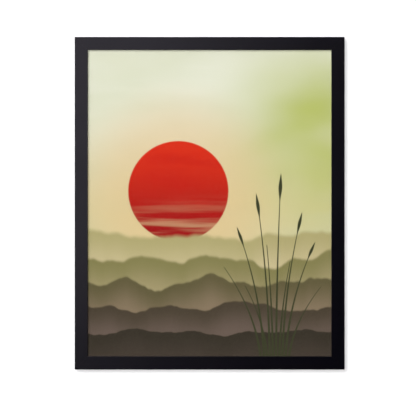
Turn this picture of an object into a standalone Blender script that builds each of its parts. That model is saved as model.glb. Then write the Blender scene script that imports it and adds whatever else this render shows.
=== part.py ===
"""A picture in a black wooden frame, made to hang on a wall.

Metres, +Z up. The picture faces -Y and the wall is on the +Y side. The origin is the
middle notch of the hanger, where the frame rests on the wall's nail.

Four mitred rails with a rebate hold, from the front, a sheet of glass, a print, a filler
board and a backing board. Six turn buttons, each on a screw, close the back. Two rubber
pads keep the lower edge as far off the wall as the hanger keeps the upper one.
"""

import math

import bmesh
import bpy
from mathutils import Matrix, Vector

# Print and rails
PRINT_W = 0.400
PRINT_H = 0.500
LIP_OVERLAP = 0.006
FACE_W = 0.021
RAIL_DEPTH = 0.018
REBATE_PLAY = 0.001
MITRE_GAP = 0.0002
OUTER_ROUND = 0.0010
SIGHT_ROUND = 0.0007
BACK_ROUND = 0.0005

# Sheets in the rebate, from the front
GLASS_T = 0.0020
PRINT_T = 0.0004
FILLER_T = 0.0050
BOARD_T = 0.0030
SHEET_BEVEL = 0.00015

# Clear space between two pieces that touch
GAP = 0.0003

# Turn buttons and their screws
BUTTON_T = 0.0010
BUTTON_EYE_R = 0.0042
BUTTON_TIP_R = 0.0026
BUTTON_REACH = 0.0150
BUTTON_SPREAD = 0.110
SCREW_R = 0.0013
SCREW_LENGTH = 0.0105
SCREW_POINT = 0.0020
SCREW_HEAD_R = 0.0031
SCREW_HEAD_H = 0.0018
SCREW_HEAD_ROUND = 0.0013
RECESS_SPAN = 0.0032
RECESS_W = 0.0009
RECESS_TIP_W = 0.0006
RECESS_DEPTH = 0.0010

# Hanger: a strip with flat ends, a raised bridge between them and teeth on its lower edge
HANGER_T = 0.0008
HANGER_W = 0.046
HANGER_H = 0.009
HANGER_ROUND = 0.0022
BRIDGE_W = 0.028
BRIDGE_RISE = 0.0024
BRIDGE_SLOPE = 0.0022
BEND_R = 0.0009
TOOTH_PITCH = 0.0030
TOOTH_DEPTH = 0.0012
NOTCH_W = 0.0026
NOTCHES_EACH_SIDE = 3
NAIL_R = 0.0007
NAIL_LENGTH = 0.0085
NAIL_POINT = 0.0015
NAIL_HEAD_R = 0.0019
NAIL_HEAD_H = 0.0009
NAIL_HEAD_ROUND = 0.0006
NAIL_INSET = 0.0042

# Rubber pads, and the steel angles driven across the mitres
PAD_R = 0.0050
PAD_T = 0.0040
PAD_ROUND = 0.0006
PAD_INSET = 0.032
ANGLE_LEG = 0.008
ANGLE_T = 0.0007
ANGLE_DEPTH = 0.006
ANGLE_INSET = 0.0065

# Sizes worked out from the above
SIGHT_W = PRINT_W - 2 * LIP_OVERLAP
SIGHT_H = PRINT_H - 2 * LIP_OVERLAP
FRAME_W = SIGHT_W + 2 * FACE_W
FRAME_H = SIGHT_H + 2 * FACE_W
LAND_W = FACE_W - LIP_OVERLAP - REBATE_PLAY
SHEETS = (
    ("glass", GLASS_T),
    ("print_sheet", PRINT_T),
    ("filler_board", FILLER_T),
    ("backing_board", BOARD_T),
)
SHEETS_DEPTH = sum(thickness + GAP for _, thickness in SHEETS)

# Depths along Y, and heights from the hanger's middle notch
BACK_Y = -(HANGER_T / 2 + BRIDGE_RISE + GAP)
FRONT_Y = BACK_Y - RAIL_DEPTH
LIP_Y = BACK_Y - SHEETS_DEPTH
BUTTON_Y = BACK_Y + GAP + BUTTON_T / 2
SCREW_SEAT_Y = BACK_Y + BUTTON_T + 2 * GAP
NAIL_SEAT_Y = BACK_Y + HANGER_T + 2 * GAP
HANGER_MID_Z = HANGER_H / 2 - TOOTH_DEPTH
CENTRE_Z = HANGER_MID_Z + LAND_W / 2 - FRAME_H / 2

# The sides in order round the front, each a quarter turn on from the last
SIDES = ("top", "right", "bottom", "left")
BUTTONS_ALONG = ((-BUTTON_SPREAD, BUTTON_SPREAD), (0,), (-BUTTON_SPREAD, BUTTON_SPREAD), (0,))
QUARTER = math.pi / 2

ARC_STEPS = 4
ROUND_SIDES = 24
HOLE_SIDES = 16
CUT_PAST = 0.001
WELD = 0.000001


def clear_scene():
    for obj in list(bpy.data.objects):
        bpy.data.objects.remove(obj, do_unlink=True)


def new_collection(name):
    collection = bpy.data.collections.new(name)
    bpy.context.scene.collection.children.link(collection)
    return collection


def new_material(name, colour, roughness, metallic=0.0):
    material = bpy.data.materials.new(name)
    material.use_nodes = True
    shader = material.node_tree.nodes["Principled BSDF"]
    shader.inputs["Base Color"].default_value = (*colour, 1.0)
    shader.inputs["Roughness"].default_value = roughness
    shader.inputs["Metallic"].default_value = metallic
    return material


def make_materials():
    return {
        "black_paint": new_material("black_paint", (0.012, 0.011, 0.014), 0.45),
        "glass": new_material("glass", (0.90, 0.92, 0.91), 0.05),
        "print_sheet": new_material("print_sheet", (0.60, 0.52, 0.33), 0.80),
        "filler_board": new_material("filler_board", (0.78, 0.77, 0.73), 0.90),
        "backing_board": new_material("backing_board", (0.30, 0.18, 0.09), 0.80),
        "zinc_steel": new_material("zinc_steel", (0.62, 0.62, 0.60), 0.35, 1.0),
        "rubber": new_material("rubber", (0.03, 0.03, 0.03), 0.85),
    }


def rounded(points, radii, closed=True):
    """The line through the points, with an arc of its own radius at each corner."""
    line = []
    for index, (point, radius) in enumerate(zip(points, radii)):
        corner = Vector(point)
        if radius == 0:
            line.append(tuple(corner))
            continue
        back = (Vector(points[index - 1]) - corner).normalized()
        ahead = (Vector(points[(index + 1) % len(points)]) - corner).normalized()
        half = back.angle(ahead) / 2
        centre = corner + (back + ahead).normalized() * radius / math.sin(half)
        start = corner + back * radius / math.tan(half) - centre
        stop = corner + ahead * radius / math.tan(half) - centre
        first = math.atan2(start.y, start.x)
        sweep = math.remainder(math.atan2(stop.y, stop.x) - first, math.tau)
        line += arc(centre, radius, first, first + sweep, ARC_STEPS)
    return line


def arc(centre, radius, start, stop, steps):
    angles = [start + (stop - start) * step / steps for step in range(steps + 1)]
    return [(centre[0] + radius * math.cos(angle), centre[1] + radius * math.sin(angle)) for angle in angles]


def circle(centre, radius):
    return arc(centre, radius, 0, math.tau, HOLE_SIDES)[:-1]


def evaluated_mesh(obj):
    """The object's mesh with its modifiers applied and its loose caps welded on."""
    graph = bpy.context.evaluated_depsgraph_get()
    mesh = bpy.data.meshes.new_from_object(obj.evaluated_get(graph))
    bm = bmesh.new()
    bm.from_mesh(mesh)
    bmesh.ops.remove_doubles(bm, verts=bm.verts, dist=WELD)
    bmesh.ops.recalc_face_normals(bm, faces=bm.faces)
    bm.to_mesh(mesh)
    bm.free()
    return mesh


def mesh_of(data):
    """The evaluated mesh of a curve, which is then dropped."""
    blank = bpy.data.objects.new(data.name, data)
    bpy.context.scene.collection.objects.link(blank)
    mesh = evaluated_mesh(blank)
    bpy.data.objects.remove(blank, do_unlink=True)
    return mesh


def plate_mesh(name, outlines, thickness):
    """A plate from closed outlines in XY, the first its rim and the rest its holes."""
    curve = bpy.data.curves.new(name, "CURVE")
    curve.dimensions = "2D"
    curve.fill_mode = "BOTH"
    curve.extrude = thickness / 2
    for points in outlines:
        spline = curve.splines.new("POLY")
        spline.points.add(len(points) - 1)
        for point, (x, y) in zip(spline.points, points):
            point.co = (x, y, 0, 1)
        spline.use_cyclic_u = True
    return mesh_of(curve)


def line_mesh(name, points):
    """An open line of edges."""
    mesh = bpy.data.meshes.new(name)
    mesh.from_pydata(points, [(index, index + 1) for index in range(len(points) - 1)], [])
    return mesh


def box_mesh(name, size):
    mesh = bpy.data.meshes.new(name)
    bm = bmesh.new()
    bmesh.ops.create_cube(bm, size=1)
    bmesh.ops.scale(bm, verts=bm.verts, vec=size)
    bm.to_mesh(mesh)
    bm.free()
    return mesh


def place(name, data, collection, parent=None, location=(0, 0, 0), turns=(0, 0, 0)):
    """Adds an object, turned about X, then Y, then Z by so many quarter turns."""
    obj = bpy.data.objects.new(name, data)
    collection.objects.link(obj)
    obj.parent = parent
    obj.location = location
    obj.rotation_euler = [turn * QUARTER for turn in turns]
    return obj


def finish(obj, material):
    """Gives a piece its material, and smooth shading except at its sharp edges."""
    mesh = obj.data
    mesh.materials.clear()
    mesh.materials.append(material)
    mesh.shade_smooth()
    mesh.set_sharp_from_angle(angle=math.radians(35))


def as_cutter(obj):
    obj.hide_render = True
    obj.display_type = "WIRE"
    return obj


def add_boolean(obj, cutter, operation):
    boolean = obj.modifiers.new(operation.lower(), "BOOLEAN")
    boolean.operation = operation
    boolean.object = cutter
    boolean.solver = "EXACT"


def add_bevel(obj, width, segments):
    bevel = obj.modifiers.new("bevel", "BEVEL")
    bevel.width = width
    bevel.segments = segments
    bevel.limit_method = "ANGLE"
    bevel.angle_limit = math.radians(40)


def reach_of(side):
    """How far a rail's outer edge is from the frame's centre, and half of the rail's length."""
    if side % 2 == 0:
        return FRAME_H / 2, FRAME_W / 2
    return FRAME_W / 2, FRAME_H / 2


def on_rail(side, along, inset, y):
    """A place on a rail, from the frame's centre: along it clockwise, and in from its edge."""
    outward = Vector((math.sin(side * QUARTER), 0, math.cos(side * QUARTER)))
    clockwise = Vector((outward.z, 0, -outward.x))
    return outward * (reach_of(side)[0] - inset) + clockwise * along + Vector((0, y, 0))


def angle_place(side, y):
    """Where a steel angle's bend is, at the clockwise end of a side."""
    return on_rail(side, reach_of(side)[1] - ANGLE_INSET, ANGLE_INSET, y)


def angle_outline(grow=0.0):
    """A steel angle: its bend at the origin, one leg to -X and the other to -Y."""
    near = grow
    inner = -ANGLE_T - grow
    far = -ANGLE_LEG - grow
    return [(near, near), (near, far), (inner, far), (inner, inner), (far, inner), (far, near)]


def rail_section():
    """A rail cut across: X runs out to the outer edge at 0, and Y is the depth."""
    corners = (
        (0, FRONT_Y),
        (0, BACK_Y),
        (-LAND_W, BACK_Y),
        (-LAND_W, LIP_Y),
        (-FACE_W, LIP_Y),
        (-FACE_W, FRONT_Y),
    )
    return rounded(corners, (OUTER_ROUND, BACK_ROUND, 0, 0, 0, SIGHT_ROUND))


def rail_mesh(name, half_length):
    """The section drawn out along Z, with both ends sheared back to the mitre."""
    mesh = plate_mesh(name, [rail_section()], 2 * half_length)
    for vertex in mesh.vertices:
        end = half_length + vertex.co.x - MITRE_GAP / math.sqrt(2)
        vertex.co.z = math.copysign(end, vertex.co.z)
    mesh.update()
    return mesh


def add_hole(bm, place_on_back, radius, depth):
    """A round cutter from just behind the rails' back down to a depth."""
    middle = Vector((place_on_back.x, BACK_Y + (CUT_PAST - depth) / 2, place_on_back.z))
    matrix = Matrix.Translation(middle) @ Matrix.Rotation(QUARTER, 4, "X")
    length = depth + CUT_PAST
    bmesh.ops.create_cone(
        bm, cap_ends=True, segments=HOLE_SIDES, radius1=radius, radius2=radius, depth=length, matrix=matrix
    )


def add_slot(bm, side):
    """The cutter for a steel angle at the clockwise end of a side, with a gap all round."""
    depth = ANGLE_DEPTH + GAP
    slot = plate_mesh("slot", [angle_outline(GAP)], depth + CUT_PAST)
    middle = angle_place(side, BACK_Y + (CUT_PAST - depth) / 2)
    turned = Matrix.Rotation(side * QUARTER, 4, "Y") @ Matrix.Rotation(QUARTER, 4, "X")
    slot.transform(Matrix.Translation(middle) @ turned)
    bm.from_mesh(slot)
    bpy.data.meshes.remove(slot)


def rail_cutter_mesh(name, side):
    """Every hole and slot in one rail, from the frame's centre."""
    bm = bmesh.new()
    for along in BUTTONS_ALONG[side]:
        depth = SCREW_LENGTH + BACK_Y - SCREW_SEAT_Y + GAP
        add_hole(bm, on_rail(side, along, LAND_W / 2, 0), SCREW_R + GAP, depth)
    if SIDES[side] == "top":
        for along in nails_along():
            depth = NAIL_LENGTH + BACK_Y - NAIL_SEAT_Y + GAP
            add_hole(bm, on_rail(side, along, LAND_W / 2, 0), NAIL_R + GAP, depth)
    add_slot(bm, side)
    add_slot(bm, (side - 1) % 4)
    mesh = bpy.data.meshes.new(name)
    bm.to_mesh(mesh)
    bm.free()
    return mesh


def nails_along():
    reach = HANGER_W / 2 - NAIL_INSET
    return -reach, reach


def turned_mesh(name, profile):
    """A solid turned about Z from its outer side, top to bottom."""
    outer_side = line_mesh(name, [(radius, 0, height) for radius, height in profile])
    blank = place(name, outer_side, bpy.context.scene.collection)
    screw = blank.modifiers.new("turn", "SCREW")
    screw.steps = ROUND_SIDES
    screw.render_steps = ROUND_SIDES
    screw.use_merge_vertices = True
    screw.merge_threshold = WELD
    mesh = evaluated_mesh(blank)
    bpy.data.objects.remove(blank, do_unlink=True)
    return mesh


def fastener_mesh(name, head_r, head_h, head_round, shank_r, length, point):
    """A screw or nail with its head's seat at the origin and its point down -Z."""
    corners = (
        (0, head_h),
        (head_r, head_h),
        (head_r, 0),
        (shank_r, 0),
        (shank_r, point - length),
        (0, -length),
    )
    return turned_mesh(name, rounded(corners, (0, head_round, 0, 0, 0, 0)))


def recess_mesh(name):
    """The cross cut into a screw's head, as an upright cutter."""
    arm = RECESS_SPAN / 2
    tip = RECESS_TIP_W / 2
    root = RECESS_W / 2
    quarter = ((arm, -tip), (arm, tip), (root, root))
    outline = []
    for turn in range(4):
        cos, sin = round(math.cos(turn * QUARTER)), round(math.sin(turn * QUARTER))
        outline += [(x * cos - y * sin, x * sin + y * cos) for x, y in quarter]
    return plate_mesh(name, [outline], RECESS_DEPTH + CUT_PAST)


def screw_mesh(scratch):
    """One screw with its cross recess cut, for all six to share."""
    solid = fastener_mesh(
        "screw", SCREW_HEAD_R, SCREW_HEAD_H, SCREW_HEAD_ROUND, SCREW_R, SCREW_LENGTH, SCREW_POINT
    )
    screw = place("screw", solid, scratch)
    height = SCREW_HEAD_H + (CUT_PAST - RECESS_DEPTH) / 2
    recess = as_cutter(place("recess", recess_mesh("recess"), scratch, location=(0, 0, height)))
    add_boolean(screw, recess, "DIFFERENCE")
    mesh = evaluated_mesh(screw)
    bpy.data.objects.remove(screw, do_unlink=True)
    bpy.data.objects.remove(recess, do_unlink=True)
    return mesh


def button_mesh(name):
    """A flat turn button: a round eye at the origin, tapering to a round tip along +X."""
    tip_x = BUTTON_REACH - BUTTON_TIP_R
    lean = math.acos((BUTTON_EYE_R - BUTTON_TIP_R) / tip_x)
    eye = arc((0, 0), BUTTON_EYE_R, lean, math.tau - lean, 2 * ARC_STEPS)
    tip = arc((tip_x, 0), BUTTON_TIP_R, -lean, lean, 2 * ARC_STEPS)
    return plate_mesh(name, [eye + tip, circle((0, 0), SCREW_R + GAP)], BUTTON_T)


def bridge_line():
    """The hanger's strip seen from above, with its ends drawn out past their cut."""
    end = HANGER_W / 2 + CUT_PAST
    foot = BRIDGE_W / 2 + BRIDGE_SLOPE
    top = BRIDGE_W / 2
    corners = (
        (-end, -BRIDGE_RISE),
        (-foot, -BRIDGE_RISE),
        (-top, 0),
        (top, 0),
        (foot, -BRIDGE_RISE),
        (end, -BRIDGE_RISE),
    )
    return rounded(corners, (0, BEND_R, BEND_R, BEND_R, BEND_R, 0))


def hanger_outlines():
    """The hanger seen from behind: its rim with the teeth, and its two nail holes."""
    half = HANGER_W / 2
    low = -TOOTH_DEPTH
    high = low + HANGER_H
    radii = [HANGER_ROUND] * 4
    rim = rounded(((-half, low), (-half, high), (half, high), (half, low)), radii)
    for notch in range(NOTCHES_EACH_SIDE, -NOTCHES_EACH_SIDE - 1, -1):
        x = notch * TOOTH_PITCH
        rim += [(x + NOTCH_W / 2, low), (x, 0), (x - NOTCH_W / 2, low)]
    holes = [circle((along, HANGER_MID_Z), NAIL_R + GAP) for along in nails_along()]
    return [rim] + holes


def hanger_blank_mesh(name):
    """The bent strip as an open sheet, taller than the hanger."""
    mesh = line_mesh(name, [(x, y, -TOOTH_DEPTH - CUT_PAST) for x, y in bridge_line()])
    bm = bmesh.new()
    bm.from_mesh(mesh)
    made = bmesh.ops.extrude_edge_only(bm, edges=bm.edges)
    raised = [item for item in made["geom"] if isinstance(item, bmesh.types.BMVert)]
    bmesh.ops.translate(bm, verts=raised, vec=(0, 0, HANGER_H + 2 * CUT_PAST))
    bm.to_mesh(mesh)
    bm.free()
    return mesh


def make_rails(pieces, cutters, centre, materials):
    for side, name in enumerate(SIDES):
        half_length = reach_of(side)[1]
        edge = on_rail(side, 0, 0, 0)
        mesh = rail_mesh(f"rail_{name}", half_length)
        rail = place(f"rail_{name}", mesh, pieces, centre, edge, (0, side - 1, 0))
        cutter = place(f"cutter_{name}", rail_cutter_mesh(f"cutter_{name}", side), cutters, centre)
        add_boolean(rail, as_cutter(cutter), "DIFFERENCE")
        finish(rail, materials["black_paint"])


def make_sheets(pieces, centre, materials):
    """The four sheets, front to back, standing on the lower rail's rebate."""
    y = LIP_Y
    for name, thickness in SHEETS:
        y += GAP
        mesh = box_mesh(name, (PRINT_W, thickness, PRINT_H))
        sheet = place(name, mesh, pieces, centre, (0, y + thickness / 2, GAP - REBATE_PLAY))
        if thickness > 8 * SHEET_BEVEL:
            add_bevel(sheet, SHEET_BEVEL, 1)
        finish(sheet, materials[name])
        y += thickness


def make_buttons(pieces, centre, materials):
    button = button_mesh("turn_button")
    screw = screw_mesh(pieces)
    for side, name in enumerate(SIDES):
        for number, along in enumerate(BUTTONS_ALONG[side], start=1):
            at = on_rail(side, along, LAND_W / 2, BUTTON_Y)
            turned = place(f"turn_button_{name}_{number}", button, pieces, centre, at, (1, side + 1, 0))
            finish(turned, materials["zinc_steel"])
            seat = on_rail(side, along, LAND_W / 2, SCREW_SEAT_Y)
            driven = place(f"button_screw_{name}_{number}", screw, pieces, centre, seat, (-1, side, 0))
            finish(driven, materials["zinc_steel"])


def make_hanger(pieces, cutters, materials):
    hanger = place("hanger", hanger_blank_mesh("hanger"), pieces)
    solid = hanger.modifiers.new("thickness", "SOLIDIFY")
    solid.thickness = HANGER_T
    solid.offset = 0
    solid.use_even_offset = True
    depth = 2 * (BRIDGE_RISE + HANGER_T + CUT_PAST)
    plate = plate_mesh("cutter_hanger", hanger_outlines(), depth)
    outline = place("cutter_hanger", plate, cutters, turns=(1, 0, 0))
    add_boolean(hanger, as_cutter(outline), "INTERSECT")
    finish(hanger, materials["zinc_steel"])
    nail = fastener_mesh(
        "nail", NAIL_HEAD_R, NAIL_HEAD_H, NAIL_HEAD_ROUND, NAIL_R, NAIL_LENGTH, NAIL_POINT
    )
    for number, along in enumerate(nails_along(), start=1):
        seat = (along, NAIL_SEAT_Y, HANGER_MID_Z)
        driven = place(f"hanger_nail_{number}", nail, pieces, None, seat, (-1, 0, 0))
        finish(driven, materials["zinc_steel"])


def make_pads(pieces, centre, materials):
    bottom = SIDES.index("bottom")
    corners = ((0, PAD_T), (PAD_R, PAD_T), (PAD_R, 0), (0, 0))
    pad = turned_mesh("pad", rounded(corners, (0, PAD_ROUND, 0, 0)))
    for name, way in (("right", -1), ("left", 1)):
        at = on_rail(bottom, way * (FRAME_W / 2 - PAD_INSET), LAND_W / 2, BACK_Y + GAP)
        finish(place(f"wall_pad_{name}", pad, pieces, centre, at, (-1, 0, 0)), materials["rubber"])


def make_corner_angles(pieces, centre, materials):
    angle = plate_mesh("corner_angle", [angle_outline()], ANGLE_DEPTH)
    for side, name in enumerate(SIDES):
        following = SIDES[(side + 1) % 4]
        at = angle_place(side, BACK_Y - ANGLE_DEPTH / 2)
        driven = place(f"corner_angle_{name}_{following}", angle, pieces, centre, at, (1, side, 0))
        finish(driven, materials["zinc_steel"])


def main():
    clear_scene()
    pieces = new_collection("framed_wall_picture")
    cutters = new_collection("cutters")
    materials = make_materials()
    centre = place("frame_centre", None, pieces, location=(0, 0, CENTRE_Z))
    make_rails(pieces, cutters, centre, materials)
    make_sheets(pieces, centre, materials)
    make_buttons(pieces, centre, materials)
    make_hanger(pieces, cutters, materials)
    make_pads(pieces, centre, materials)
    make_corner_angles(pieces, centre, materials)


main()
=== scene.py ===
"""The looks of a framed wall picture: its finishes, the printed design, and the studio round it.

Metres, +Z up. The picture faces -Y and the wall is on the +Y side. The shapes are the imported
model's own, apart from four films of glue in the frame's mitres. This script gives each piece its
material and sets the wall, the floor, the lamps and the camera.
"""

import math

import bmesh
import bpy
from mathutils import Matrix, Vector


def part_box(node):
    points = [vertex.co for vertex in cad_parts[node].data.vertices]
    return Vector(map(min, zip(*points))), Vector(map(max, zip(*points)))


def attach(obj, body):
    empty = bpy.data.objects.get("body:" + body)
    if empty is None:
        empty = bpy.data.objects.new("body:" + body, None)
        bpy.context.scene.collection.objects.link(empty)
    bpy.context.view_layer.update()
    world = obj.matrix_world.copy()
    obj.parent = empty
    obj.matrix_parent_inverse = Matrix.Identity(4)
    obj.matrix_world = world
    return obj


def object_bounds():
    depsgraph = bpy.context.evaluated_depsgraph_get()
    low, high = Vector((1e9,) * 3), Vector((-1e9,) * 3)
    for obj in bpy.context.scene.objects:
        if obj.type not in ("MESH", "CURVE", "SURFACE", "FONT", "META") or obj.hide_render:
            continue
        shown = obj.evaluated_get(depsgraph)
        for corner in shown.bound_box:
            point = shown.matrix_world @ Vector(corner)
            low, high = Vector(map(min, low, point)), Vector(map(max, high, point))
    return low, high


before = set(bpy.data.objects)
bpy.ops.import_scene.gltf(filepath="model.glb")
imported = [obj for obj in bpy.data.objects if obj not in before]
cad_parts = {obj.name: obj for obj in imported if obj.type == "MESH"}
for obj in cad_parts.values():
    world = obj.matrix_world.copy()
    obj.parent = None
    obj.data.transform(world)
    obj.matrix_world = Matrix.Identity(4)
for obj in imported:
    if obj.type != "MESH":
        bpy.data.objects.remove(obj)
CAD_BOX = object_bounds()
LOW, HIGH = CAD_BOX
CENTRE = (LOW + HIGH) / 2

# The photograph's size, and the frame's outer edges in it, in pixels. The edges are let out by up to
# 0.3 px, because a rendered edge fades into the white wall
PHOTO_W = 416
PHOTO_H = 403
EDGE_LEFT = 74.45
EDGE_TOP = 37.05
EDGE_RIGHT = 344.85
EDGE_BOTTOM = 369.40
LENS_MM = 200.0
SENSOR_MM = 36.0

# Films of glue in the mitres: their thickness, how far they stay inside the rails, and which way each
# corner lies across and up
GLUE_T = 0.00018
GLUE_INSET = 0.0004
MITRES = (
    ("top_right", 1, 1),
    ("right_bottom", 1, -1),
    ("bottom_left", -1, -1),
    ("left_top", -1, 1),
)

# The stage. The floor lies below the frame's centre
WALL_GAP = 0.0001
WALL_SIDE = 2.0
WALL_WHITE = 0.88
FLOOR_SIDE = 24.0
FLOOR_BELOW = 1.1
FLOOR_WHITE = 0.22
FLOOR_GLOW = 0.86
STAGE_ROUGHNESS = 0.9

# Lamps. Places are from the frame's centre, sizes are sides in metres, and strengths are radiances
KEY_AT = Vector((-1.94, -9.00, 1.85))
KEY_SIZE = (2.97, 2.97)
KEY_RADIANCE = 20.4
SHEEN_AT = Vector((-0.46, -1.88, 0.46))
SHEEN_SIZE = (1.00, 1.60)
SHEEN_ROLL = math.radians(-20)
SHEEN_RADIANCE = 1.13
SHEEN_TINT = (0.98, 0.91, 1.06)
FILL_AT = Vector((0.0, -3.4, 0.0))
FILL_SIZE = (1.0, 1.0)
FILL_RADIANCE = 22.3
BACK_AT = Vector((-0.6, 1.0, 1.6))
BACK_SIZE = (1.2, 1.2)
BACK_RADIANCE = 6.0
BACK_FILL_AT = Vector((1.6, 1.2, -0.1))
BACK_FILL_RADIANCE = 0.8

# The room that surfaces see. It is lighter above than below, it has only a share of its light before
# the picture's face, and it is dark straight ahead of it. A pair of numbers is the stretch of a
# direction's Z or Y, from -1 to 1, over which the light changes
ROOM_TINT = (1.0, 0.97, 1.05)
ROOM_BELOW = 0.30
ROOM_ABOVE = 0.60
ROOM_RISE = (-0.6, 0.9)
ROOM_FRONT_SHARE = 0.5
ROOM_TURN = (-0.2, 0.2)
ROOM_AHEAD = 0.005
ROOM_DARKENS = (-0.50, -0.72)

# Finishes. A tone is a linear colour, and a pair of tones or of roughnesses is what a pattern goes
# between. Cells are a pattern's noise cells over a metre, and a relief is its depth in metres. The
# paint's brush marks are finer than the wood's grain, by a factor
PAINT_TONES = ((0.0002, 0.0001, 0.0010, 1), (0.0004, 0.0002, 0.0018, 1))
PAINT_ROUGHNESS = (0.28, 0.30)
PAINT_RELIEF = 0.00003
PAINT_CLOUD_CELLS = 14.0
GRAIN_CELLS_ACROSS = 260.0
GRAIN_CELLS_ALONG = 7.0
GRAIN_SHARE = 0.7
BRUSH_FINER = 3
BRUSH_ROUGHNESS = 0.02
PEEL_CELLS = 900.0
PEEL_SHARE = 0.3

GLASS_TINT = (0.985, 0.992, 0.988, 1)
GLASS_IOR = 1.5

PAPER_ROUGHNESS = 0.7
PAPER_RELIEF = 0.00002
PAPER_FIBRE_CELLS = 700.0

BOARD_TONES = ((0.235, 0.140, 0.070, 1), (0.345, 0.215, 0.115, 1))
BOARD_MOTTLE_TONE = (0.20, 0.115, 0.055, 1)
BOARD_FLECK_TONE = (0.10, 0.055, 0.028, 1)
BOARD_CLOUD_TONE = (0.40, 0.27, 0.16, 1)
BOARD_ROUGHNESS = 0.85
BOARD_RELIEF = 0.00007
BOARD_FIBRE_CELLS = (900.0, 900.0, 520.0)
BOARD_MOTTLE_CELLS = (230.0, 230.0, 150.0)
BOARD_FLECK_CELLS = 900.0
BOARD_CLOUD_CELLS = 9.0
BOARD_MESH_SCALE = 105.0

CARD_TONES = ((0.62, 0.61, 0.56, 1), (0.78, 0.77, 0.73, 1))
CARD_ROUGHNESS = 0.9
CARD_RELIEF = 0.00004
CARD_FIBRE_CELLS = 500.0

ZINC_TONES = ((0.50, 0.51, 0.53, 1), (0.68, 0.68, 0.67, 1))
ZINC_ROUGHNESS = (0.26, 0.40)
ZINC_RELIEF = 0.00001
ZINC_CLOUD_CELLS = 260.0
SCRATCH_CELLS = (300.0, 900.0, 3600.0)
SCRATCH_ROUGHNESS = 0.08

RUBBER_TONES = ((0.022, 0.022, 0.022, 1), (0.055, 0.053, 0.050, 1))
RUBBER_ROUGHNESS = (0.72, 0.88)
RUBBER_RELIEF = 0.00003
RUBBER_SKIN_CELLS = 1500.0
RUBBER_DUST_CELLS = 180.0

# The light that falls on the print, so that an ink shows in the tone that it is named by
PRINT_LIGHT = 1.26

# Printed design, in metres from the sheet's centre. Its inks are tones from 0 to 255
SKY_TOP_Z = 0.20
SKY_INK = (232, 232, 212)
HORIZON_Z = -0.03
HORIZON_INK = (216, 204, 158)
VEIL_INK = (202, 206, 168)
VEIL_CELLS = (3.0, 1.0, 16.0)
OLIVE_X = 0.175
OLIVE_Z = 0.110
OLIVE_R = 0.210
OLIVE_FULL_R = 0.01
OLIVE_INK = (180, 188, 92)
OLIVE_CELLS = (5.0, 1.0, 9.0)
SUN_X = -0.050
SUN_Z = 0.020
SUN_R = 0.080
SUN_SOFT = 0.0012
SUN_TOP_INK = (218, 46, 20)
SUN_FOOT_INK = (158, 12, 18)
WASH_INK = (196, 22, 16)
WASH_CELLS = (9.0, 1.0, 45.0)
STREAK_CELLS = (4.0, 1.0, 60.0)
GLOW_R = 0.19
GLOW_INK = (232, 194, 138)
STALK_INK = (58, 62, 38)
FIBRE_INK = (150, 140, 120)

# Hills from the farthest: ridge height, its swing, waves a metre, where they start, soft edge, mist
# depth, and the inks of ridge and mist
HILLS = (
    (-0.050, 0.030, 8.0, 3.1, 0.0050, 0.070, (178, 168, 116), (208, 192, 150)),
    (-0.088, 0.034, 9.0, 11.7, 0.0035, 0.070, (134, 128, 80), (172, 158, 118)),
    (-0.125, 0.028, 12.0, 27.4, 0.0025, 0.060, (98, 90, 60), (138, 120, 96)),
    (-0.165, 0.022, 11.0, 41.9, 0.0018, 0.055, (74, 64, 50), (108, 92, 82)),
    (-0.205, 0.014, 15.0, 55.2, 0.0012, 0.050, (54, 48, 38), (70, 60, 52)),
)

# Grass stalks from left to right: root's x, height, how far the tip leans and bends aside, the root's
# width, and what a seed head adds to the half width
STALKS = (
    (0.082, 0.150, -0.014, -0.046, 0.0036, 0.0),
    (0.087, 0.214, -0.008, -0.036, 0.0036, 0.0018),
    (0.092, 0.120, -0.006, -0.030, 0.0034, 0.0),
    (0.096, 0.268, -0.004, -0.018, 0.0034, 0.0022),
    (0.101, 0.186, -0.002, -0.008, 0.0036, 0.0),
    (0.106, 0.300, 0.002, 0.006, 0.0034, 0.0024),
    (0.111, 0.160, 0.004, 0.014, 0.0036, 0.0),
    (0.116, 0.238, 0.006, 0.026, 0.0034, 0.0020),
    (0.121, 0.190, 0.008, 0.040, 0.0036, 0.0018),
    (0.126, 0.118, 0.012, 0.040, 0.0034, 0.0),
)
STALK_TIP_W = 0.0011
STALK_SOFT = 0.0006

# Shares of a stalk's height: where its seed head starts and is widest, and where its tip fades
HEAD_FROM = 0.84
HEAD_WIDEST = 0.92
TIP_FADES = 0.98

# Which sockets of a Mix node take the factor and the two colours, and which one gives the result
MIX_INPUTS = (0, 6, 7)
MIX_OUTPUT = 2


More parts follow.
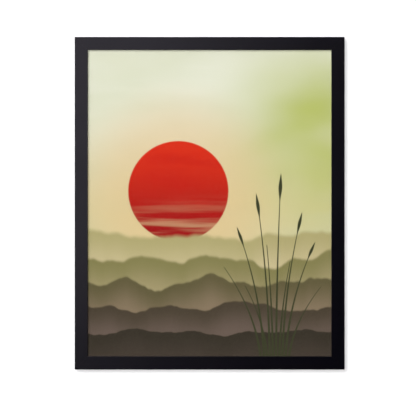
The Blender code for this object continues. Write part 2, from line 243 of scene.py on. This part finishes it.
class Nodes:
    """Adds nodes to a tree and feeds their sockets from values or from other sockets."""

    def __init__(self, tree):
        self.tree = tree

    def feed(self, socket, value):
        if isinstance(value, bpy.types.NodeSocket):
            self.tree.links.new(value, socket)
        else:
            socket.default_value = value

    def add(self, kind, inputs=None, **settings):
        node = self.tree.nodes.new(kind)
        for name, value in settings.items():
            setattr(node, name, value)
        for name, value in (inputs or {}).items():
            self.feed(node.inputs[name], value)
        return node

    def math(self, operation, *values):
        node = self.add("ShaderNodeMath", operation=operation)
        for socket, value in zip(node.inputs, values):
            self.feed(socket, value)
        return node.outputs[0]

    def step(self, value, low, high, start=0.0, stop=1.0):
        """Eases from start to stop while the value goes from low to high."""
        inputs = {"Value": value, "From Min": low, "From Max": high, "To Min": start, "To Max": stop}
        return self.add("ShaderNodeMapRange", inputs, interpolation_type="SMOOTHSTEP").outputs[0]

    def mix(self, factor, first, second):
        node = self.add("ShaderNodeMix", data_type="RGBA")
        for index, value in zip(MIX_INPUTS, (factor, first, second)):
            self.feed(node.inputs[index], value)
        return node.outputs[MIX_OUTPUT]

    def mix_shaders(self, factor, first, second):
        node = self.add("ShaderNodeMixShader", {"Fac": factor})
        self.feed(node.inputs[1], first)
        self.feed(node.inputs[2], second)
        return node.outputs[0]

    def noise(self, place, cells, detail=2.0, roughness=0.5):
        """Cloudy noise round 0.5. Three numbers of cells are those along X, Y and Z."""
        if isinstance(cells, tuple):
            place = self.stretched(place, cells)
            cells = 1.0
        inputs = {"Vector": place, "Scale": cells, "Detail": detail, "Roughness": roughness}
        return self.add("ShaderNodeTexNoise", inputs).outputs["Fac"]

    def stretched(self, place, cells):
        node = self.add("ShaderNodeVectorMath", operation="MULTIPLY")
        self.feed(node.inputs[0], place)
        self.feed(node.inputs[1], cells)
        return node.outputs[0]

    def noise_line(self, place, detail, roughness):
        """Noise along one line, where the place is counted in cells."""
        inputs = {"W": place, "Scale": 1.0, "Detail": detail, "Roughness": roughness}
        return self.add("ShaderNodeTexNoise", inputs, noise_dimensions="1D").outputs["Fac"]

    def bump(self, height, depth):
        return self.add("ShaderNodeBump", {"Height": height, "Distance": depth}).outputs[0]


def new_material(name):
    """A material, its node builder and its shader."""
    material = bpy.data.materials.new(name)
    material.use_nodes = True
    return material, Nodes(material.node_tree), material.node_tree.nodes["Principled BSDF"]


def new_finish(name, metallic=0.0, specular=0.5):
    """A material for a pattern, its node builder, the place on the piece, and its shader."""
    material, nodes, shader = new_material(name)
    shader.inputs["Metallic"].default_value = metallic
    shader.inputs["Specular IOR Level"].default_value = specular
    place = nodes.add("ShaderNodeTexCoord").outputs["Object"]
    return material, nodes, place, shader


def set_finish(nodes, shader, colour, roughness, relief, depth):
    """Feeds a shader its colour and its roughness, and a relief that is so deep in metres."""
    nodes.feed(shader.inputs["Base Color"], colour)
    nodes.feed(shader.inputs["Roughness"], roughness)
    nodes.feed(shader.inputs["Normal"], nodes.bump(relief, depth))


def set_surface(nodes, shader):
    nodes.feed(nodes.tree.nodes["Material Output"].inputs["Surface"], shader)


def ink(tone):
    """The paper's colour where the design shows in this tone, from 0 to 255."""
    return (*(linear(part / 255) / PRINT_LIGHT for part in tone), 1.0)


def linear(part):
    """The light of a screen's tone, both from 0 to 1, by the sRGB curve."""
    if part <= 0.04045:
        return part / 12.92
    return ((part + 0.055) / 1.055) ** 2.4


def black_paint(name, along):
    """Satin black paint on wood, whose grain runs along one axis and just shows through."""
    material, nodes, place, shader = new_finish(name)
    cells = tuple(GRAIN_CELLS_ALONG if axis == along else GRAIN_CELLS_ACROSS for axis in range(3))
    grain = nodes.noise(place, cells, detail=4.0, roughness=0.6)
    brushed = nodes.noise(place, tuple(number * BRUSH_FINER for number in cells))
    peel = nodes.noise(place, PEEL_CELLS, detail=1.0)
    clouds = nodes.noise(place, PAINT_CLOUD_CELLS)
    colour = nodes.mix(nodes.step(grain, 0.35, 0.70), *PAINT_TONES)
    cloudy = nodes.step(clouds, 0.3, 0.7, *PAINT_ROUGHNESS)
    streaky = nodes.step(brushed, 0.3, 0.7, stop=BRUSH_ROUGHNESS)
    grainy = nodes.math("MULTIPLY", grain, GRAIN_SHARE)
    dimpled = nodes.math("MULTIPLY", peel, PEEL_SHARE)
    roughness = nodes.math("ADD", cloudy, streaky)
    relief = nodes.math("ADD", grainy, dimpled)
    set_finish(nodes, shader, colour, roughness, relief, PAINT_RELIEF)
    return material


def clear_glass():
    """Window glass as a see-through skin: it lets light pass, and its outside shines by the angle."""
    material, nodes, shader = new_material("clear_glass")
    nodes.tree.nodes.remove(shader)
    through = nodes.add("ShaderNodeBsdfTransparent", {"Color": GLASS_TINT}).outputs[0]
    shine = nodes.add("ShaderNodeBsdfGlossy", {"Color": (1, 1, 1, 1), "Roughness": 0.0}).outputs[0]
    outside = nodes.math("SUBTRACT", 1.0, nodes.add("ShaderNodeNewGeometry").outputs["Backfacing"])
    by_angle = nodes.add("ShaderNodeFresnel", {"IOR": GLASS_IOR}).outputs[0]
    amount = nodes.math("MULTIPLY", by_angle, outside)
    set_surface(nodes, nodes.mix_shaders(amount, through, shine))
    return material


def sky(nodes, place, x, z):
    """A pale sky, warmer towards the horizon, with an olive cloud to the right and thin veils."""
    height = nodes.step(z, HORIZON_Z, SKY_TOP_Z)
    colour = nodes.mix(height, ink(HORIZON_INK), ink(SKY_INK))
    drift = nodes.noise(place, OLIVE_CELLS, roughness=0.45)
    near = nodes.step(distance(nodes, x, z, OLIVE_X, OLIVE_Z), OLIVE_R, OLIVE_FULL_R)
    olive = nodes.math("MULTIPLY", near, nodes.step(drift, 0.30, 0.65, start=0.60))
    colour = nodes.mix(olive, colour, ink(OLIVE_INK))
    veil = nodes.step(nodes.noise(place, VEIL_CELLS, detail=3.0), 0.45, 0.75, stop=0.35)
    return nodes.mix(veil, colour, ink(VEIL_INK))


def distance(nodes, x, z, middle_x, middle_z):
    """How far a place on the print is from a middle."""
    across = nodes.math("POWER", nodes.math("SUBTRACT", x, middle_x), 2.0)
    up = nodes.math("POWER", nodes.math("SUBTRACT", z, middle_z), 2.0)
    return nodes.math("SQRT", nodes.math("ADD", across, up))


def sun(nodes, place, x, z, colour):
    """A red disc with a warm glow round it and thin mist across its lower part."""
    away = distance(nodes, x, z, SUN_X, SUN_Z)
    colour = nodes.mix(nodes.step(away, GLOW_R, SUN_R, stop=0.45), colour, ink(GLOW_INK))
    low = nodes.step(z, SUN_Z + SUN_R, SUN_Z - SUN_R)
    red = nodes.mix(low, ink(SUN_TOP_INK), ink(SUN_FOOT_INK))
    wash = nodes.noise(place, WASH_CELLS, detail=4.0, roughness=0.55)
    red = nodes.mix(nodes.step(wash, 0.45, 0.75, stop=0.5), red, ink(WASH_INK))
    streaks = nodes.step(nodes.noise(place, STREAK_CELLS, detail=3.0), 0.42, 0.62)
    misty = nodes.math("MULTIPLY", streaks, nodes.step(z, SUN_Z, SUN_Z - SUN_R, stop=0.55))
    disc = nodes.step(away, SUN_R + SUN_SOFT, SUN_R - SUN_SOFT)
    disc = nodes.math("MULTIPLY", disc, nodes.math("SUBTRACT", 1.0, misty))
    return nodes.mix(disc, colour, red)


def hills(nodes, x, z, colour):
    """Ridges one before the other, each fading into mist at its foot."""
    for ridge, swing, waves, start, soft, depth, ridge_ink, mist_ink in HILLS:
        line = nodes.noise_line(nodes.math("MULTIPLY_ADD", x, waves, start), detail=4.0, roughness=0.45)
        top = nodes.math("MULTIPLY_ADD", line, 2 * swing, ridge - swing)
        below = nodes.math("SUBTRACT", top, z)
        land = nodes.mix(nodes.step(below, 0.0, depth), ink(ridge_ink), ink(mist_ink))
        colour = nodes.mix(nodes.step(below, -soft, soft), colour, land)
    return colour


def grass(nodes, x, z, foot, colour):
    """A tuft of dark stalks that fans out from the lower edge, the taller ones with seed heads."""
    shade = None
    for root, height, lean, bend, width, head in STALKS:
        along = nodes.math("DIVIDE", nodes.math("SUBTRACT", z, foot), height)
        curve = nodes.math("MULTIPLY_ADD", nodes.math("MULTIPLY", along, along), bend, root)
        middle = nodes.math("MULTIPLY_ADD", along, lean, curve)
        off = nodes.math("ABSOLUTE", nodes.math("SUBTRACT", x, middle))
        half = nodes.step(along, 0.0, 1.0, width / 2, STALK_TIP_W / 2)
        rise = nodes.step(along, HEAD_FROM, HEAD_WIDEST)
        fall = nodes.step(along, 1.0, HEAD_WIDEST)
        half = nodes.math("MULTIPLY_ADD", nodes.math("MULTIPLY", rise, fall), head, half)
        stalk = nodes.step(nodes.math("SUBTRACT", half, off), -STALK_SOFT, STALK_SOFT)
        stalk = nodes.math("MULTIPLY", stalk, nodes.step(along, 1.0, TIP_FADES))
        shade = stalk if shade is None else nodes.math("MAXIMUM", shade, stalk)
    return nodes.mix(shade, colour, ink(STALK_INK))


def printed_paper():
    """Smooth matt paper, printed with a red sun over misty hills."""
    material, nodes, place, shader = new_finish("printed_paper", specular=0.3)
    low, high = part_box("print_sheet")
    middle = (low + high) / 2
    parts = nodes.add("ShaderNodeSeparateXYZ", {"Vector": place})
    x = nodes.math("SUBTRACT", parts.outputs["X"], middle.x)
    z = nodes.math("SUBTRACT", parts.outputs["Z"], middle.z)
    colour = sky(nodes, place, x, z)
    colour = sun(nodes, place, x, z, colour)
    colour = hills(nodes, x, z, colour)
    colour = grass(nodes, x, z, low.z - middle.z, colour)
    fibres = nodes.noise(place, PAPER_FIBRE_CELLS, detail=3.0, roughness=0.6)
    colour = nodes.mix(nodes.step(fibres, 0.35, 0.75, stop=0.05), colour, ink(FIBRE_INK))
    set_finish(nodes, shader, colour, PAPER_ROUGHNESS, fibres, PAPER_RELIEF)
    return material


def hardboard():
    """Brown pressed board with short fibres, and the fine mesh that its back is pressed on."""
    material, nodes, place, shader = new_finish("pressed_board", specular=0.3)
    fibres = nodes.noise(place, BOARD_FIBRE_CELLS, detail=4.0, roughness=0.7)
    mottle = nodes.noise(place, BOARD_MOTTLE_CELLS, detail=3.0, roughness=0.65)
    flecks = nodes.noise(place, BOARD_FLECK_CELLS)
    clouds = nodes.noise(place, BOARD_CLOUD_CELLS, detail=3.0)
    colour = nodes.mix(nodes.step(fibres, 0.30, 0.72), *BOARD_TONES)
    colour = nodes.mix(nodes.step(mottle, 0.40, 0.70, stop=0.45), colour, BOARD_MOTTLE_TONE)
    colour = nodes.mix(nodes.step(flecks, 0.62, 0.74, stop=0.55), colour, BOARD_FLECK_TONE)
    colour = nodes.mix(nodes.step(clouds, 0.35, 0.70, stop=0.35), colour, BOARD_CLOUD_TONE)
    mesh = nodes.math("MULTIPLY", waves(nodes, place, "X"), waves(nodes, place, "Z"))
    set_finish(nodes, shader, colour, BOARD_ROUGHNESS, nodes.math("ADD", mesh, fibres), BOARD_RELIEF)
    return material


def waves(nodes, place, direction):
    """Even waves across the board, about 3 mm apart."""
    inputs = {"Vector": place, "Scale": BOARD_MESH_SCALE}
    return nodes.add("ShaderNodeTexWave", inputs, bands_direction=direction).outputs["Fac"]


def filler_card():
    """Grey-white pressed card with a few darker fibres."""
    material, nodes, place, shader = new_finish("pressed_card", specular=0.3)
    fibres = nodes.noise(place, CARD_FIBRE_CELLS, detail=4.0, roughness=0.6)
    colour = nodes.mix(nodes.step(fibres, 0.35, 0.7), *CARD_TONES)
    set_finish(nodes, shader, colour, CARD_ROUGHNESS, fibres, CARD_RELIEF)
    return material


def zinc_steel():
    """Zinc-plated steel, clouded and finely scratched."""
    material, nodes, place, shader = new_finish("zinc_steel", metallic=1.0)
    clouds = nodes.noise(place, ZINC_CLOUD_CELLS, detail=3.0, roughness=0.6)
    scratches = nodes.noise(place, SCRATCH_CELLS)
    colour = nodes.mix(nodes.step(clouds, 0.35, 0.68), *ZINC_TONES)
    cloudy = nodes.step(clouds, 0.3, 0.7, *ZINC_ROUGHNESS)
    scratched = nodes.step(scratches, 0.4, 0.7, stop=SCRATCH_ROUGHNESS)
    set_finish(nodes, shader, colour, nodes.math("ADD", cloudy, scratched), scratches, ZINC_RELIEF)
    return material


def black_rubber():
    """Dull dark rubber with a fine moulded skin, a little dusty."""
    material, nodes, place, shader = new_finish("black_rubber", specular=0.4)
    skin = nodes.noise(place, RUBBER_SKIN_CELLS)
    dust = nodes.noise(place, RUBBER_DUST_CELLS, detail=3.0)
    colour = nodes.mix(nodes.step(dust, 0.45, 0.75, stop=0.6), *RUBBER_TONES)
    roughness = nodes.step(dust, 0.3, 0.7, *RUBBER_ROUGHNESS)
    set_finish(nodes, shader, colour, roughness, skin, RUBBER_RELIEF)
    return material


def dress_nodes():
    """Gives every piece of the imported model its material. All that aren't named here are steel."""
    level_paint = black_paint("black_paint_level", along=0)
    upright_paint = black_paint("black_paint_upright", along=2)
    steel = zinc_steel()
    rubber = black_rubber()
    by_name = {
        "rail_top": level_paint,
        "rail_bottom": level_paint,
        "rail_right": upright_paint,
        "rail_left": upright_paint,
        "glass": clear_glass(),
        "print_sheet": printed_paper(),
        "filler_board": filler_card(),
        "backing_board": hardboard(),
        "wall_pad_right": rubber,
        "wall_pad_left": rubber,
    }
    for name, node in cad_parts.items():
        node.data.materials.clear()
        node.data.materials.append(by_name.get(name, steel))
    mitre_glue(upright_paint)


def mitre_glue(paint):
    """Films of dark glue inside the four mitres, just under the face, so that no light comes through."""
    rail_low, rail_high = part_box("rail_top")
    middle_in = (rail_high.z - rail_low.z) / 2
    length = (middle_in - GLUE_INSET) * 2 * math.sqrt(2)
    front = rail_low.y + GLUE_INSET
    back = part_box("glass")[0].y - 2 * GLUE_INSET
    for name, across, up in MITRES:
        corner_x = HIGH.x if across > 0 else LOW.x
        corner_z = HIGH.z if up > 0 else LOW.z
        middle = Vector((corner_x - across * middle_in, (front + back) / 2, corner_z - up * middle_in))
        turn = Matrix.Rotation(-across * up * math.radians(45), 3, "Y")
        place = Matrix.LocRotScale(middle, turn, Vector((length, back - front, GLUE_T)))
        bm = bmesh.new()
        bmesh.ops.create_cube(bm, size=1.0, matrix=place)
        mesh = bpy.data.meshes.new(f"mitre_glue_{name}")
        bm.to_mesh(mesh)
        bm.free()
        mesh.materials.append(paint)
        film = bpy.data.objects.new(mesh.name, mesh)
        bpy.context.scene.collection.objects.link(film)
        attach(film, "frame")


def backdrop(name, corners, material):
    """A flat sheet of the stage, which surfaces neither mirror nor take light from."""
    mesh = bpy.data.meshes.new(name)
    mesh.from_pydata(corners, [], [(0, 1, 2, 3)])
    mesh.materials.append(material)
    sheet = bpy.data.objects.new(name, mesh)
    bpy.context.scene.collection.objects.link(sheet)
    sheet.visible_diffuse = False
    sheet.visible_glossy = False
    return sheet


def plain_white(name, white, glow=0.0, one_sided=False):
    """Matt white with a glow of its own, and clear from behind if it is one-sided."""
    material, nodes, shader = new_material(name)
    shader.inputs["Base Color"].default_value = (white, white, white, 1)
    shader.inputs["Roughness"].default_value = STAGE_ROUGHNESS
    shader.inputs["Specular IOR Level"].default_value = 0.0
    shader.inputs["Emission Color"].default_value = (1, 1, 1, 1)
    shader.inputs["Emission Strength"].default_value = glow
    if one_sided:
        behind = nodes.add("ShaderNodeNewGeometry").outputs["Backfacing"]
        clear = nodes.add("ShaderNodeBsdfTransparent").outputs[0]
        set_surface(nodes, nodes.mix_shaders(behind, shader.outputs[0], clear))
    return material


def make_stage():
    """A white wall that is seen from the front only and casts no shadow, and a pale floor."""
    y = HIGH.y + WALL_GAP
    half = WALL_SIDE / 2
    low = CENTRE.z - half
    high = CENTRE.z + half
    corners = [(-half, y, low), (half, y, low), (half, y, high), (-half, y, high)]
    wall = backdrop("wall", corners, plain_white("wall_white", WALL_WHITE, one_sided=True))
    wall.visible_shadow = False
    half = FLOOR_SIDE / 2
    z = CENTRE.z - FLOOR_BELOW
    corners = [(-half, -half, z), (half, -half, z), (half, half, z), (-half, half, z)]
    backdrop("floor", corners, plain_white("floor_white", FLOOR_WHITE, FLOOR_GLOW))


def make_lamp(name, at, size, radiance, tint=(1, 1, 1), roll=0.0, shines=True, shadows=True):
    """A soft panel that faces the frame. One that doesn't shine lights surfaces but isn't mirrored."""
    light = bpy.data.lights.new(name, "AREA")
    light.shape = "RECTANGLE"
    light.size, light.size_y = size
    light.energy = radiance * math.pi * size[0] * size[1]
    light.color = tint
    light.use_shadow = shadows
    lamp = bpy.data.objects.new(name, light)
    bpy.context.scene.collection.objects.link(lamp)
    lamp.location = CENTRE + at
    lamp.rotation_euler = at.to_track_quat("Z", "Y").to_euler()
    lamp.rotation_euler.rotate_axis("Z", roll)
    lamp.visible_camera = False
    lamp.visible_glossy = shines
    return lamp


def leave_out(lamp, node):
    """Keeps a lamp off one piece."""
    group = bpy.data.collections.new(f"{lamp.name}_leaves_out")
    group.objects.link(node)
    lamp.light_linking.receiver_collection = group
    group.collection_objects[0].light_linking.link_state = "EXCLUDE"


def make_lamps():
    """A key from the upper left, a panel that the paint mirrors, a fill, and two lamps for the back."""
    make_lamp("key", KEY_AT, KEY_SIZE, KEY_RADIANCE, shines=False)
    sheen = make_lamp("sheen", SHEEN_AT, SHEEN_SIZE, SHEEN_RADIANCE, SHEEN_TINT, SHEEN_ROLL)
    leave_out(sheen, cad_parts["glass"])
    make_lamp("fill", FILL_AT, FILL_SIZE, FILL_RADIANCE, shines=False, shadows=False)
    make_lamp("back", BACK_AT, BACK_SIZE, BACK_RADIANCE)
    make_lamp("back_fill", BACK_FILL_AT, BACK_SIZE, BACK_FILL_RADIANCE)


def make_world():
    """White to the eye. Surfaces see a room that is bright overhead and dark before the picture."""
    world = bpy.data.worlds.new("studio")
    world.use_nodes = True
    bpy.context.scene.world = world
    tree = world.node_tree
    tree.nodes.clear()
    nodes = Nodes(tree)
    way = nodes.add("ShaderNodeTexCoord").outputs["Generated"]
    parts = nodes.add("ShaderNodeSeparateXYZ", {"Vector": way})
    by_height = nodes.step(parts.outputs["Z"], *ROOM_RISE, ROOM_BELOW, ROOM_ABOVE)
    by_side = nodes.step(parts.outputs["Y"], *ROOM_TURN, ROOM_FRONT_SHARE, 1.0)
    level = nodes.math("MULTIPLY", by_height, by_side)
    ahead = nodes.step(parts.outputs["Y"], *ROOM_DARKENS)
    level = nodes.math("MULTIPLY_ADD", ahead, nodes.math("SUBTRACT", ROOM_AHEAD, level), level)
    room = nodes.add("ShaderNodeBackground", {"Color": (*ROOM_TINT, 1), "Strength": level})
    white = nodes.add("ShaderNodeBackground", {"Color": (1, 1, 1, 1)})
    seen = nodes.add("ShaderNodeLightPath").outputs["Is Camera Ray"]
    output = nodes.add("ShaderNodeOutputWorld")
    nodes.feed(output.inputs["Surface"], nodes.mix_shaders(seen, room.outputs[0], white.outputs[0]))


def make_camera():
    """Square on to the picture, at the distance that gives the photograph's scale."""
    width_px = EDGE_RIGHT - EDGE_LEFT
    height_px = EDGE_BOTTOM - EDGE_TOP
    scale = (width_px / (HIGH.x - LOW.x) + height_px / (HIGH.z - LOW.z)) / 2
    away = PHOTO_W / scale * LENS_MM / SENSOR_MM
    right_px = (EDGE_LEFT + EDGE_RIGHT - PHOTO_W) / 2
    down_px = (EDGE_TOP + EDGE_BOTTOM - PHOTO_H) / 2
    data = bpy.data.cameras.new("camera")
    data.lens = LENS_MM
    data.sensor_width = SENSOR_MM
    camera = bpy.data.objects.new("camera", data)
    bpy.context.scene.collection.objects.link(camera)
    camera.location = (CENTRE.x - right_px / scale, LOW.y - away, CENTRE.z + down_px / scale)
    camera.rotation_euler = (math.radians(90), 0, 0)
    bpy.context.scene.camera = camera


make_camera()
dress_nodes()
make_stage()
make_lamps()
make_world()
bpy.context.scene.view_settings.view_transform = "Standard"
